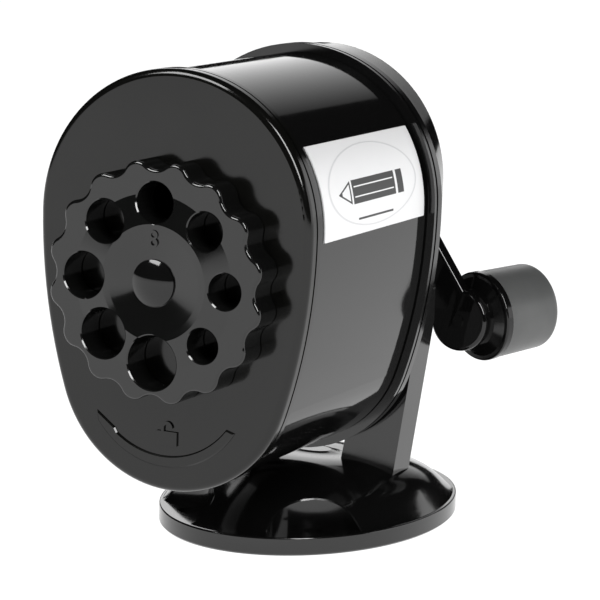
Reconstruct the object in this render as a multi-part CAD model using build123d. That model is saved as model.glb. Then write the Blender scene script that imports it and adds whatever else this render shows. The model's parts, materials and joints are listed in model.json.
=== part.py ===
"""Manual crank pencil sharpener on an oval screw-down stand.

Millimetres. +Z is up and the pencil goes in along +Y. The origin is the centre of the stand's
underside. The crank, the cutter head and the twist of the shavings drum share one axis, which is
parallel to Y at height CRANK_Z.
"""
from math import atan2, cos, radians, sin, sqrt
import os

from build123d import *

# Stand
BASE_HALF_X = 32.8
BASE_HALF_Y = 43.2
BASE_RIM_H = 4.2
DOME_H = 15.4
DOME_INSET = 0.8
RIM_EDGE_R = 0.35
POCKET_EDGE = 0.25
POCKET_R = 11.6
POCKET_X = 20.0
POCKET_Y = 34.7
SCREW_X = 16.3
SCREW_Y = 30.0
SCREW_HOLE_R = 2.2
LEG_FRONT_Y = -4.4
LEG_BACK_FOOT_Y = 4.2
LEG_BACK_TOP_Y = -2.2
LEG_OUTER_FOOT_X = 22.1
LEG_OUTER_TOP_X = 31.6
LEG_INNER_FOOT_X = 7.8
LEG_INNER_TOP_X = 19.7
LEG_TOP_Z = 68.0
LEG_BEND_Z = 49.0

# Egg outline shared by the front plate, the drum and the stand's head
TOP_R = 33.0
LOW_R = 28.2
SIDE_R = 122.7
TOP_Z = 77.4
DROP = 30.1

# Depths along Y
FACE_Y = -68.4
PLATE_T = 2.2
CAP_DEPTH = 4.9
HEAD_FRONT_Y = -10.2
HEAD_BACK_Y = 4.8
DRUM_GAP = 0.7

# Walls and steps
CAP_WALL = 2.2
DRUM_INSET = 0.6
DRUM_WALL = 1.8
FACE_EDGE_R = 1.6
GROOVE_DEPTH = 0.5
GROOVE_W = 0.6
RIM_GROW = 1.45
RIM_GROOVE_GROW = 0.6
HEAD_BACK_SHRINK = 3.4
HEAD_BACK_LIFT = 4.2
HEAD_WALL = 2.4
HEAD_WEB_BACK_Y = -3.4
RIB_T = 2.0

# Crank axis and bearing
CRANK_Z = 82.9
SHAFT_R = 4.0
SHAFT_NOSE_R = 3.0
BUSH_OUTER_R = 6.0
BOSS_R = 18.6
BOSS_BACK_Y = 3.4
BOSS_END_R = 12.0
BOSS_END_Y = 8.2
BUSH_FRONT_Y = 4.6
THRUST_T = 0.75
RUN = 0.05
SEAT_GAP = 0.02
SIDE_GAP = 0.06

# Drum neck, bayonet and socket
NECK_R = 22.3
NECK_WALL = 1.6
NECK_END_Y = -5.5
LUG_H = 1.3
LUG_T = 1.6
LUG_W = 8.0
LUG_COUNT = 3
LUG_GAP = 0.3
SOCKET_END_Y = -5.1
TWIST_DEG = 22.0
COLLAR_R = 26.2

# Bevelled planetary gearing
MODULE = 0.8
PINION_TEETH = 12
RING_TEETH = 28
CUTTER_TILT = 7.9
RING_FRONT_Y = -5.0
RING_BACK_Y = 1.0
RING_OUTER_R = 15.5
GEAR_MID_Y = -2.0
PINION_FACE = 4.6
TIP_REACH = 0.65
ROOT_REACH = 0.9
RING_TIP_REACH = 0.55
RING_ROOT_REACH = 0.95

# Cutters
CUTTER_R = 6.6
CUTTER_ROOT_R = 5.7
CUTTER_LEN = 28.0
CUTTER_TEETH = 12
CUTTER_TWIST = 70.0
CUTTER_STEPS = 6
PIN_R = 1.5
COLLAR_LEN = 2.6
PINION_COLLAR_R = 3.3

# Cutter carrier
CARRIER_BACK_Y = 4.3
CARRIER_BACK_T = 2.8
CARRIER_BACK_R = 9.3
CARRIER_FRONT_Y = -40.6
CARRIER_FRONT_T = 3.6
CARRIER_FRONT_R = 17.6
STRUT_HALF_W = 3.0
STRUT_IN_R = 6.6
STRUT_OUT_R = 8.7
NOSE_LEN = 11.5
NOSE_R = 7.4
NOSE_BORE_R = 5.4

# Dial
DIAL_Z = 65.8
DIAL_T = 7.2
DIAL_GAP = 0.3
DIAL_R = 25.05
LOBES = 16
LOBE_H = 0.95
DIAL_EDGE_R = 0.7
LIP = 0.25
HOLE_RADII = [3.9, 4.2, 4.45, 4.7, 5.0, 5.45, 5.95, 3.75]
HOLE_FIRST_DEG = 0.0
PLATE_HOLE_R = 6.4
PIVOT_R = 3.0
BUTTON_R = 5.0
BUTTON_PROUD = 1.3
BUTTON_SUNK = 1.0
DISH_R = 11.0
DISH_T = 0.35
PIVOT_BOSS_R = 5.6
PIVOT_BOSS_LEN = 3.4
WASHER_POCKET_R = 6.9
WASHER_POCKET_T = 2.0
DETENT_R = 9.0
BALL_R = 1.25
DIMPLE_GROW = 0.3
SPRING_T = 0.4
MARK_R = 1.0
RELIEF = 0.45

# Arrow and lock sign moulded on the face
ARROW_TIP = (-17.6, 35.0)
ARROW_BARB = (-13.0, 31.7)
ARROW_NOTCH = (-12.4, 30.7)
ARROW_UPPER_MID = (1.45, 27.2)
ARROW_UPPER_END = (14.4, 34.7)
ARROW_HOOK = (16.5, 34.1)
ARROW_LOWER_MID = (-1.0, 24.5)
ARROW_LOWER_START = (-17.3, 32.8)
RELIEF_SLOPE = 0.3
LOCK_Z = 31.0
LOCK_W = 5.0
LOCK_H = 3.0
SHACKLE_R = 1.4

# Label
LABEL_FRONT_GAP = 7.4
LABEL_BACK_GAP = 1.3
LABEL_LOW_Z = 75.6
LABEL_TOP_Z = 95.4
LABEL_T = 0.3

# Crank arm and knob
CRANK_R = 47.4
CRANK_REST_DEG = 41.0
ARM_LEAN_DEG = 5.0
ARM_HALF_W = 4.9
ARM_HUB_HALF_W = 8.8
ARM_T = 3.9
ARM_EDGE_R = 0.9
ARM_END_R = 7.2
HUB_R = 9.2
HUB_FRONT_GAP = 0.05
ARM_MID_Y = 19.2
SHAFT_IN_HUB_R = 3.4
SCREW_R = 1.5
SCREW_HEAD_R = 3.1
SCREW_HEAD_T = 2.0
SCREW_DEPTH = 12.0
WASHER_R = 4.6
WASHER_T = 0.7
STUD_R = 3.0
RIVET_R = 1.35
RIVET_PROUD = 0.3
STUD_START = 2.3
KNOB_SPLAY_DEG = 24.0
KNOB_RISE_DEG = 4.0
EYE_BOSS_R = 7.0
EYE_BOSS_END = 5.0
KNOB_NECK_R = 9.4
KNOB_NECK_LEN = 1.05
KNOB_FLANGE_R = 10.6
KNOB_FLANGE_T = 1.8
KNOB_R = 10.4
KNOB_END_R = 10.1
KNOB_LEN = 15.5
KNOB_EDGE_R = 1.7
KNOB_DISH_R = 5.6
KNOB_DISH_T = 2.2
STUD_HEAD_R = 4.8
STUD_HEAD_T = 1.6

# Places that follow from the sizes above
CAP_BACK_Y = FACE_Y + CAP_DEPTH
DRUM_BACK_Y = HEAD_FRONT_Y - DRUM_GAP
LABEL_FRONT_Y = FACE_Y + LABEL_FRONT_GAP
LABEL_BACK_Y = DRUM_BACK_Y - LABEL_BACK_GAP
DIAL_BACK_Y = FACE_Y - DIAL_GAP
DIAL_FRONT_Y = DIAL_BACK_Y - DIAL_T
HOLE_CIRCLE_R = CRANK_Z - DIAL_Z
RING_PITCH_R = MODULE * RING_TEETH / 2
PINION_PITCH_R = MODULE * PINION_TEETH / 2
PINION_CONE = atan2(sin(radians(CUTTER_TILT)), RING_TEETH / PINION_TEETH - cos(radians(CUTTER_TILT)))
CONE_LEN = PINION_PITCH_R / sin(PINION_CONE)
RING_APEX_DIST = sqrt(CONE_LEN ** 2 - RING_PITCH_R ** 2)
PINION_APEX_DIST = CONE_LEN * cos(PINION_CONE)
APEX_Y = GEAR_MID_Y + RING_APEX_DIST
PINION_START = PINION_APEX_DIST - PINION_FACE / 2
PINION_END = PINION_APEX_DIST + PINION_FACE / 2
CUTTER_START = PINION_END + COLLAR_LEN + SIDE_GAP
CUTTER_END = CUTTER_START + CUTTER_LEN
HUB_START_Y = BOSS_END_Y + THRUST_T + 2 * HUB_FRONT_GAP
ARM_BACK_Y = ARM_MID_Y + ARM_T / 2
GRIP_START = EYE_BOSS_END + SIDE_GAP + KNOB_NECK_LEN + KNOB_FLANGE_T


def facing(y, x=0.0, z=0.0):
    """Plane at depth y whose sketch x and y run along X and Z, and which extrudes to the front."""
    return Plane(origin=(x, y, z), x_dir=(1, 0, 0), z_dir=(0, -1, 0))


def slab(sketch, front, back, x=0.0, z=0.0):
    """Extrude a sketch drawn in X and Z from depth back to depth front."""
    return extrude(facing(back, x, z) * sketch, amount=back - front)


def disc(radius, front, back, x=0.0, z=CRANK_Z):
    return slab(Circle(radius), front, back, x, z)


def polar(radius, angle_deg):
    return (radius * cos(radians(angle_deg)), radius * sin(radians(angle_deg)))


def egg(grow=0.0, lift=0.0):
    """Egg outline: a top arc and a smaller low arc, joined by two long side arcs."""
    to_top, to_low = SIDE_R - TOP_R, SIDE_R - LOW_R
    rise = (to_low ** 2 - to_top ** 2 - DROP ** 2) / (2 * DROP)
    offset = sqrt(to_top ** 2 - rise ** 2)
    top_turn, low_turn = atan2(-rise, offset), atan2(-DROP - rise, offset)
    mid_turn = (top_turn + low_turn) / 2
    r_top, r_low, r_side = TOP_R + grow, LOW_R + grow, SIDE_R + grow
    z_top, z_low = TOP_Z + lift, TOP_Z - DROP + lift
    top_x, top_z = r_top * cos(top_turn), z_top + r_top * sin(top_turn)
    low_x, low_z = r_low * cos(low_turn), z_low + r_low * sin(low_turn)
    side_x, side_z = r_side * cos(mid_turn) - offset, z_top + rise + r_side * sin(mid_turn)
    outline = [
        ThreePointArc((top_x, top_z), (0, z_top + r_top), (-top_x, top_z)),
        ThreePointArc((-top_x, top_z), (-side_x, side_z), (-low_x, low_z)),
        ThreePointArc((-low_x, low_z), (0, z_low - r_low), (low_x, low_z)),
        ThreePointArc((low_x, low_z), (side_x, side_z), (top_x, top_z)),
    ]
    return make_face(outline)


def edges_at_depth(part, y):
    """Edges that lie wholly in the plane at depth y."""
    return part.edges().filter_by_position(Axis.Y, y - 0.01, y + 0.01)


def stand_foot():
    """Oval disc with a shallow dome, four screw pockets and their holes."""
    foot = extrude(Ellipse(BASE_HALF_X, BASE_HALF_Y), amount=BASE_RIM_H)
    foot = chamfer(foot.edges().group_by(Axis.Z)[0], 0.4)
    foot = fillet(foot.edges().group_by(Axis.Z)[-1], RIM_EDGE_R)
    shares = [(1.0, 1.0, 0.0), (0.955, 0.88, 0.2), (0.9, 0.75, 0.43), (0.82, 0.57, 0.65),
              (0.69, 0.4, 0.83), (0.45, 0.21, 0.965), (0.16, 0.07, 1.0)]
    rise = DOME_H - BASE_RIM_H
    rings = []
    for share_x, share_y, height in shares:
        oval = Ellipse(share_x * (BASE_HALF_X - DOME_INSET), share_y * (BASE_HALF_Y - DOME_INSET))
        rings.append(Plane.XY.offset(BASE_RIM_H + height * rise) * oval)
    foot += loft(rings)
    for side_x in (-1, 1):
        for side_y in (-1, 1):
            pocket = Cylinder(POCKET_R, DOME_H, align=(Align.CENTER, Align.CENTER, Align.MIN))
            foot -= Pos(side_x * POCKET_X, side_y * POCKET_Y, BASE_RIM_H) * pocket
            hole = Cylinder(SCREW_HOLE_R, 4 * BASE_RIM_H)
            foot -= Pos(side_x * SCREW_X, side_y * SCREW_Y, BASE_RIM_H) * hole
    pocket_edges = []
    for edge in foot.edges().filter_by_position(Axis.Z, BASE_RIM_H, DOME_H):
        span = edge.bounding_box()
        if span.min.Z < BASE_RIM_H + 0.1 and BASE_RIM_H + 1 < span.max.Z < DOME_H - 0.1:
            pocket_edges.append(edge)
    return chamfer(pocket_edges, POCKET_EDGE)


def stand_legs():
    """Two legs that rise from the foot and run out into the sides of the head."""
    low, span = BASE_RIM_H / 2, 4 * BASE_HALF_X
    side = make_face(Polyline(
        (LEG_FRONT_Y, low), (LEG_FRONT_Y, LEG_TOP_Z), (LEG_BACK_TOP_Y, LEG_TOP_Z),
        (LEG_BACK_FOOT_Y, LEG_BEND_Z), (LEG_BACK_FOOT_Y, low), (LEG_FRONT_Y, low)))
    side = extrude(Plane.YZ.offset(-span / 2) * side, amount=span)
    legs = None
    for turn in (1, -1):
        front = make_face(Polyline(
            (turn * LEG_INNER_FOOT_X, low), (turn * LEG_OUTER_FOOT_X, low),
            (turn * LEG_OUTER_TOP_X, LEG_TOP_Z), (turn * LEG_INNER_TOP_X, LEG_TOP_Z),
            (turn * LEG_INNER_FOOT_X, low)))
        leg = slab(front, -BASE_HALF_Y, BASE_HALF_Y) & side
        legs = leg if legs is None else legs + leg
    return legs


def stand_head():
    """Egg-shaped head: two front rims, a back that narrows, a ribbed hollow and the gear housing."""
    rim_t, groove_t = 1.0, 0.8
    rim_back = HEAD_FRONT_Y + rim_t
    groove_back = rim_back + groove_t
    second_back = groove_back + 2.0
    head = slab(egg(RIM_GROW), HEAD_FRONT_Y, rim_back)
    head += slab(egg(RIM_GROOVE_GROW), rim_back, groove_back)
    head += slab(egg(RIM_GROW), groove_back, second_back)
    head += loft([facing(second_back) * egg(RIM_GROOVE_GROW),
                  facing(HEAD_BACK_Y) * egg(-HEAD_BACK_SHRINK, HEAD_BACK_LIFT)], ruled=True)
    head = fillet(edges_at_depth(head, HEAD_BACK_Y), 1.6)
    hollow = slab(egg(-HEAD_BACK_SHRINK - HEAD_WALL, HEAD_BACK_LIFT), HEAD_WEB_BACK_Y, HEAD_BACK_Y + 1)
    head -= hollow
    reach = TOP_R + DROP
    ribs = None
    for angle in range(30, 390, 60):
        rib = slab(Pos(reach / 2, 0) * Rectangle(reach, RIB_T), HEAD_WEB_BACK_Y, HEAD_BACK_Y - 1.2)
        rib = Pos(0, 0, CRANK_Z) * Rot(0, angle, 0) * rib
        ribs = rib if ribs is None else ribs + rib
    head += ribs & hollow
    head += disc(BOSS_R, HEAD_WEB_BACK_Y, BOSS_BACK_Y)
    head += disc(BOSS_END_R, BOSS_BACK_Y, BOSS_END_Y)
    head += disc(COLLAR_R, HEAD_FRONT_Y + 2, HEAD_WEB_BACK_Y)
    return head


def entry_slot(angle):
    """Slot in the head's front web that lets one bayonet lug into the groove."""
    groove_r = NECK_R + LUG_H + LUG_GAP
    back = NECK_END_Y - LUG_T
    height = groove_r - NECK_R + 1
    bar = Pos(0, groove_r - height / 2) * Rectangle(LUG_W + 1, height)
    return Pos(0, 0, CRANK_Z) * Rot(0, angle, 0) * slab(bar, HEAD_FRONT_Y - 1, back)


def stand():
    """Foot, legs and head, which are one moulding, bored for the drum's neck, the gear and the bush."""
    whole = stand_foot() + stand_legs() + stand_head()
    whole -= disc(NECK_R + RUN, HEAD_FRONT_Y - 1, SOCKET_END_Y)
    whole -= disc(NECK_R + LUG_H + LUG_GAP, NECK_END_Y - LUG_T - LUG_GAP, SOCKET_END_Y)
    for lug in range(LUG_COUNT):
        whole -= entry_slot(lug * 360 / LUG_COUNT + TWIST_DEG)
    whole -= disc(RING_OUTER_R, SOCKET_END_Y - 0.5, RING_BACK_Y)
    whole -= disc(CARRIER_BACK_R + 0.8, RING_BACK_Y - 0.5, BUSH_FRONT_Y)
    return whole - disc(BUSH_OUTER_R, BUSH_FRONT_Y - 0.5, BOSS_END_Y + 1)


def toothed_face(teeth, low_r, high_r, low_half, high_half, scale):
    """Polygon of straight-sided teeth; each half width is in degrees about the tooth's middle."""
    corners = []
    for tooth in range(teeth):
        middle = tooth * 360 / teeth
        for radius, turn in ((low_r, -low_half), (high_r, -high_half), (high_r, high_half), (low_r, low_half)):
            corners.append(polar(radius * scale, middle + turn))
    return make_face(Polyline(*corners, corners[0]))


def ring_gear():
    """Internal bevel ring: its teeth shrink towards the apex that the cutter axes share."""
    body = disc(RING_OUTER_R, RING_FRONT_Y, RING_BACK_Y)
    space_half = 180 / RING_TEETH
    low_r, high_r = RING_PITCH_R - RING_TIP_REACH, RING_PITCH_R + RING_ROOT_REACH
    sections = []
    for y in (RING_BACK_Y + 0.6, RING_FRONT_Y - 0.6):
        dist = APEX_Y - y
        face = toothed_face(RING_TEETH, low_r, high_r, space_half - 1.5, space_half - 3.1, dist / RING_APEX_DIST)
        sections.append(facing(y, 0, CRANK_Z) * face)
    return body - loft(sections, ruled=True)


def shaft_bush():
    return disc(BUSH_OUTER_R, BUSH_FRONT_Y, BOSS_END_Y) - disc(SHAFT_R + RUN, BUSH_FRONT_Y - 1, BOSS_END_Y + 1)


def thrust_washer():
    front = BOSS_END_Y + HUB_FRONT_GAP
    return disc(HUB_R, front, front + THRUST_T) - disc(SHAFT_R + RUN, front - 1, front + THRUST_T + 1)


def cutter_plane(side):
    """Plane at the shared apex whose Z runs forwards along one cutter's axis, X pointing outwards."""
    tilt = radians(CUTTER_TILT)
    return Plane(origin=(0, APEX_Y, CRANK_Z), x_dir=(side * cos(tilt), sin(tilt), 0),
                 z_dir=(side * sin(tilt), -cos(tilt), 0))


def rod(radius, start, end):
    """Round bar along local Z from start to end."""
    return extrude(Plane.XY.offset(start) * Circle(radius), amount=end - start)


def cutter(side):
    """Milled helical cutter with a bore that runs on its pin."""
    sections = []
    tooth_deg = 180 / CUTTER_TEETH
    for step in range(CUTTER_STEPS + 1):
        share = step / CUTTER_STEPS
        face = toothed_face(CUTTER_TEETH, CUTTER_ROOT_R, CUTTER_R, 0.8 * tooth_deg, 0.25 * tooth_deg, 1)
        height = CUTTER_START + share * CUTTER_LEN
        sections.append(Plane.XY.offset(height) * Rot(0, 0, share * CUTTER_TWIST) * face)
    body = loft(sections, ruled=True) - rod(PIN_R + RUN, CUTTER_START - 1, CUTTER_END + 1)
    return cutter_plane(side) * body


def pinion(side):
    """Bevel pinion with a collar that drives the cutter."""
    low_r, high_r = PINION_PITCH_R - ROOT_REACH, PINION_PITCH_R + TIP_REACH
    sections = []
    for dist in (PINION_START, PINION_END):
        face = toothed_face(PINION_TEETH, low_r, high_r, 10.6, 2.4, dist / PINION_APEX_DIST)
        sections.append(Plane.XY.offset(dist) * face)
    body = loft(sections, ruled=True) + rod(PINION_COLLAR_R, PINION_END - 0.5, CUTTER_START)
    return cutter_plane(side) * (body - rod(PIN_R + RUN, PINION_START - 1, CUTTER_START + 1))


def pin_span():
    """Start and end of a cutter pin along its own axis, just inside the carrier's two plates."""
    lean = cos(radians(CUTTER_TILT))
    margin = 0.7
    return (APEX_Y - CARRIER_BACK_Y + margin) / lean, (APEX_Y - CARRIER_FRONT_Y - margin) / lean


def cutter_pin(side):
    start, end = pin_span()
    return cutter_plane(side) * rod(PIN_R, start, end)


def cutter_carrier():
    """Cage that carries both cutters: back plate on the shaft, two struts and a front plate."""
    front_back = CARRIER_FRONT_Y + CARRIER_FRONT_T
    cage = disc(CARRIER_BACK_R, CARRIER_BACK_Y - CARRIER_BACK_T, CARRIER_BACK_Y)
    cage += disc(CARRIER_FRONT_R, CARRIER_FRONT_Y, front_back)
    for turn in (1, -1):
        height = STRUT_OUT_R - STRUT_IN_R
        strut = Pos(0, turn * (STRUT_IN_R + height / 2)) * Rectangle(2 * STRUT_HALF_W, height)
        cage += slab(strut, CARRIER_FRONT_Y, CARRIER_BACK_Y, 0, CRANK_Z)
    cage -= disc(NOSE_R + SEAT_GAP, CARRIER_FRONT_Y - 1, front_back + 1)
    cage -= disc(SHAFT_NOSE_R + SEAT_GAP, 0, CARRIER_BACK_Y + 1)
    start, end = pin_span()
    for side in (1, -1):
        cage -= cutter_plane(side) * rod(PIN_R, start, end)
    return cage


def pencil_guide():
    """Tube pressed into the carrier's front plate that leads the pencil to the cutters."""
    start, end = CARRIER_FRONT_Y - NOSE_LEN, CARRIER_FRONT_Y + CARRIER_FRONT_T
    return disc(NOSE_R, start, end) - disc(NOSE_BORE_R, start - 1, end + 1)


def crank_shaft():
    """Stepped steel shaft: nose in the carrier, journal in the bush, smaller end in the crank hub."""
    shaft = disc(SHAFT_NOSE_R, CARRIER_BACK_Y - CARRIER_BACK_T, CARRIER_BACK_Y)
    shaft += disc(SHAFT_R, CARRIER_BACK_Y, HUB_START_Y)
    shaft += disc(SHAFT_IN_HUB_R, HUB_START_Y, ARM_BACK_Y - WASHER_T)
    return shaft - disc(SCREW_R, ARM_BACK_Y - SCREW_DEPTH, ARM_BACK_Y)


def crank_frame():
    """Frame on the crank axis at the arm's mid depth; its -Z is the crank's rest direction."""
    return Pos(0, ARM_MID_Y, CRANK_Z) * Rot(0, -CRANK_REST_DEG, 0)


def arm_frame():
    """The crank frame, tipped so that the arm leans forwards towards its end."""
    return crank_frame() * Rot(-ARM_LEAN_DEG, 0, 0)


def knob_frame():
    """Frame at the middle of the eye's front face; its +Y is the knob's axis."""
    half_t = ARM_T / 2
    centre = (arm_frame() * Pos(0, -half_t, -CRANK_R)).position
    return Pos(*centre) * Rot(0, 0, -KNOB_SPLAY_DEG) * Rot(KNOB_RISE_DEG, 0, 0)


def plug(radius, start, end):
    """Round bar along Y from start to end, about the local origin."""
    return slab(Circle(radius), start, end)


def crank_arm():
    """Tapered flat arm with a hub at the shaft and an eye whose boss is square to the knob's axis."""
    half_t = ARM_T / 2
    blade = make_face(Polyline(
        (-ARM_HUB_HALF_W, 0), (ARM_HUB_HALF_W, 0), (ARM_HALF_W, -CRANK_R), (-ARM_HALF_W, -CRANK_R),
        (-ARM_HUB_HALF_W, 0)))
    arm = slab(blade, -half_t, half_t)
    arm += plug(HUB_R, -half_t, half_t) + Pos(0, 0, -CRANK_R) * plug(ARM_END_R, -half_t, half_t)
    rims = edges_at_depth(arm, -half_t) + edges_at_depth(arm, half_t)
    arm = fillet(rims, ARM_EDGE_R)
    arm = arm_frame() * arm
    ahead = arm_frame() * Pos(0, 0, -CRANK_R) * plug(3 * ARM_END_R, -half_t - 2 * EYE_BOSS_R, -half_t + ARM_EDGE_R)
    arm += knob_frame() * plug(EYE_BOSS_R, -EYE_BOSS_R, EYE_BOSS_END) - ahead
    arm += arm_frame() * Pos(0, 0, -CRANK_R) * plug(RIVET_R, -half_t - RIVET_PROUD, 0)
    arm -= knob_frame() * plug(KNOB_FLANGE_R + 2, EYE_BOSS_END, 3 * EYE_BOSS_END)
    arm -= knob_frame() * plug(STUD_R + SEAT_GAP, STUD_START, 3 * EYE_BOSS_END)
    arm += disc(HUB_R, HUB_START_Y, ARM_BACK_Y)
    arm -= disc(SHAFT_IN_HUB_R, HUB_START_Y - 1, ARM_BACK_Y - WASHER_T)
    arm -= disc(SCREW_R + 0.2, ARM_MID_Y, ARM_BACK_Y + ARM_T)
    return arm - disc(HUB_R + 1, ARM_BACK_Y, ARM_BACK_Y + ARM_T)


def crank_washer():
    return disc(WASHER_R, ARM_BACK_Y, ARM_BACK_Y + WASHER_T) - disc(SCREW_R + 0.2, ARM_BACK_Y - 1, ARM_BACK_Y + 2)


def crank_screw():
    """Pan-head screw with a straight driver slot."""
    under = ARM_BACK_Y + WASHER_T
    head = disc(SCREW_HEAD_R, under, under + SCREW_HEAD_T)
    head = fillet(edges_at_depth(head, under + SCREW_HEAD_T), 0.8)
    head -= slab(Rectangle(0.8, 4 * SCREW_HEAD_R), under + SCREW_HEAD_T - 0.9, under + 2 * SCREW_HEAD_T, 0, CRANK_Z)
    return head + disc(SCREW_R, ARM_BACK_Y - SCREW_DEPTH + 1, under)


def knob_stud():
    """Stud fixed in the arm's eye, with a head that keeps the knob on."""
    end = GRIP_START + KNOB_LEN - KNOB_DISH_T + STUD_HEAD_T + SIDE_GAP
    return knob_frame() * (plug(STUD_R, STUD_START, end - STUD_HEAD_T) + plug(STUD_HEAD_R, end - STUD_HEAD_T, end))


def knob_flange():
    """Black collar of the knob: a short cone and a thin round flange."""
    start = EYE_BOSS_END + SIDE_GAP
    flange_start = start + KNOB_NECK_LEN
    cone = loft([facing(start) * Circle(EYE_BOSS_R), facing(flange_start) * Circle(KNOB_NECK_R)], ruled=True)
    flange = plug(KNOB_FLANGE_R, flange_start, GRIP_START)
    flange = fillet(edges_at_depth(flange, flange_start), 0.5) + cone
    return knob_frame() * (flange - plug(STUD_R + RUN, start - 1, GRIP_START + 1))


def knob_grip():
    """Plain round grip with a slight taper, a soft end and a dished centre for the stud's head."""
    end = GRIP_START + KNOB_LEN
    grip = loft([facing(GRIP_START) * Circle(KNOB_R), facing(end) * Circle(KNOB_END_R)], ruled=True)
    grip = fillet(edges_at_depth(grip, end), KNOB_EDGE_R)
    grip -= plug(STUD_R + RUN, GRIP_START - 1, end + 1)
    grip -= plug(KNOB_DISH_R, end - KNOB_DISH_T, end + 1)
    return knob_frame() * grip


def receptacle_drum():
    """Egg-shaped shavings drum with a round neck and bayonet lugs at the back."""
    outer, inner = -DRUM_INSET, -DRUM_INSET - DRUM_WALL
    plate_back = FACE_Y + PLATE_T
    drum = slab(egg(outer), CAP_BACK_Y, DRUM_BACK_Y)
    drum += slab(egg(-CAP_WALL - SEAT_GAP), plate_back, CAP_BACK_Y)
    drum -= slab(egg(inner - DRUM_WALL), plate_back - 1, CAP_BACK_Y + DRUM_WALL)
    drum -= slab(egg(inner), CAP_BACK_Y + DRUM_WALL, DRUM_BACK_Y - DRUM_WALL)
    drum += disc(NECK_R, DRUM_BACK_Y - DRUM_WALL, NECK_END_Y)
    drum += lugs()
    return drum - disc(NECK_R - NECK_WALL, DRUM_BACK_Y - DRUM_WALL - 1, NECK_END_Y + 1)


def lugs():
    """Bayonet lugs round the neck's end."""
    ring = disc(NECK_R + LUG_H, NECK_END_Y - LUG_T, NECK_END_Y)
    kept = None
    for lug in range(LUG_COUNT):
        bar = slab(Pos(0, NECK_R / 2 + LUG_H) * Rectangle(LUG_W, NECK_R + 2 * LUG_H), NECK_END_Y - LUG_T, NECK_END_Y)
        bar = Pos(0, 0, CRANK_Z) * Rot(0, lug * 360 / LUG_COUNT, 0) * bar
        kept = bar if kept is None else kept + bar
    return ring & kept


def raised(sketch, x=0.0, z=0.0):
    """Relief on the plate's face with sloping flanks."""
    relief = slab(sketch, FACE_Y - RELIEF, FACE_Y, x, z)
    return chamfer(edges_at_depth(relief, FACE_Y - RELIEF), RELIEF_SLOPE)


def arrow():
    """Curved arrow under the dial that shows which way the drum turns to come off."""
    return raised(make_face([
        Polyline(ARROW_LOWER_START, ARROW_TIP, ARROW_BARB, ARROW_NOTCH),
        ThreePointArc(ARROW_NOTCH, ARROW_UPPER_MID, ARROW_UPPER_END),
        Line(ARROW_UPPER_END, ARROW_HOOK),
        ThreePointArc(ARROW_HOOK, ARROW_LOWER_MID, ARROW_LOWER_START),
    ]))


def open_lock():
    """Open padlock sign: a plain block with a shackle that is lifted at one side."""
    block = Rectangle(LOCK_W, LOCK_H)
    shackle = Circle(SHACKLE_R) - Circle(SHACKLE_R - 0.7)
    shackle &= Pos(0, SHACKLE_R) * Rectangle(4 * SHACKLE_R, 2 * SHACKLE_R)
    leg = Pos(-SHACKLE_R + 0.35, -0.5) * Rectangle(0.7, 1.0)
    sign = block + Pos(0, LOCK_H / 2 + 0.8) * (shackle + leg)
    return slab(sign, FACE_Y - RELIEF, FACE_Y, 0, LOCK_Z)


def detent_place():
    x, z = polar(DETENT_R, 45)
    return x, DIAL_Z + z


def front_plate():
    """Egg-shaped cap of the drum, with the pencil hole, the dial's pivot boss and the ball hole."""
    plate_back = FACE_Y + PLATE_T
    cap = slab(egg(), FACE_Y, CAP_BACK_Y)
    cap = fillet(edges_at_depth(cap, FACE_Y), FACE_EDGE_R)
    cap -= slab(egg(-CAP_WALL), plate_back, CAP_BACK_Y + 1)
    groove_back = CAP_BACK_Y - 1.4
    cap -= slab(egg(1) - egg(-GROOVE_DEPTH), groove_back - GROOVE_W, groove_back)
    cap += disc(PIVOT_BOSS_R, FACE_Y + PLATE_T / 2, plate_back + PIVOT_BOSS_LEN, 0, DIAL_Z)
    cap += arrow() + open_lock()
    cap -= disc(PLATE_HOLE_R, FACE_Y - 1, plate_back + 1)
    cap -= disc(PIVOT_R, FACE_Y - 1, plate_back + PIVOT_BOSS_LEN + 1, 0, DIAL_Z)
    ball_x, ball_z = detent_place()
    cap -= disc(BALL_R, FACE_Y - 1, plate_back + 1, ball_x, ball_z)
    return cap


def label():
    """Thin foil label bent round the drum's right side."""
    skin = slab(egg(-DRUM_INSET + LABEL_T) - egg(-DRUM_INSET), LABEL_FRONT_Y, LABEL_BACK_Y)
    height = LABEL_TOP_Z - LABEL_LOW_Z
    window = Pos(TOP_R, LABEL_LOW_Z + height / 2) * Rectangle(2 * TOP_R, height)
    return skin & slab(window, LABEL_FRONT_Y, LABEL_BACK_Y)


def lobed_disc():
    """Scalloped dial outline: convex lobes and concave finger grips, joined on the mean circle."""
    half = 180 / LOBES
    edges = []
    for lobe in range(LOBES):
        peak = half + lobe * 2 * half
        start, top, join = polar(DIAL_R, peak - half / 2), polar(DIAL_R + LOBE_H, peak), polar(DIAL_R, peak + half / 2)
        edges.append(ThreePointArc(start, top, join))
        valley, end = polar(DIAL_R - LOBE_H, peak + half), polar(DIAL_R, peak + 1.5 * half)
        edges.append(ThreePointArc(join, valley, end))
    return make_face(edges)


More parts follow.
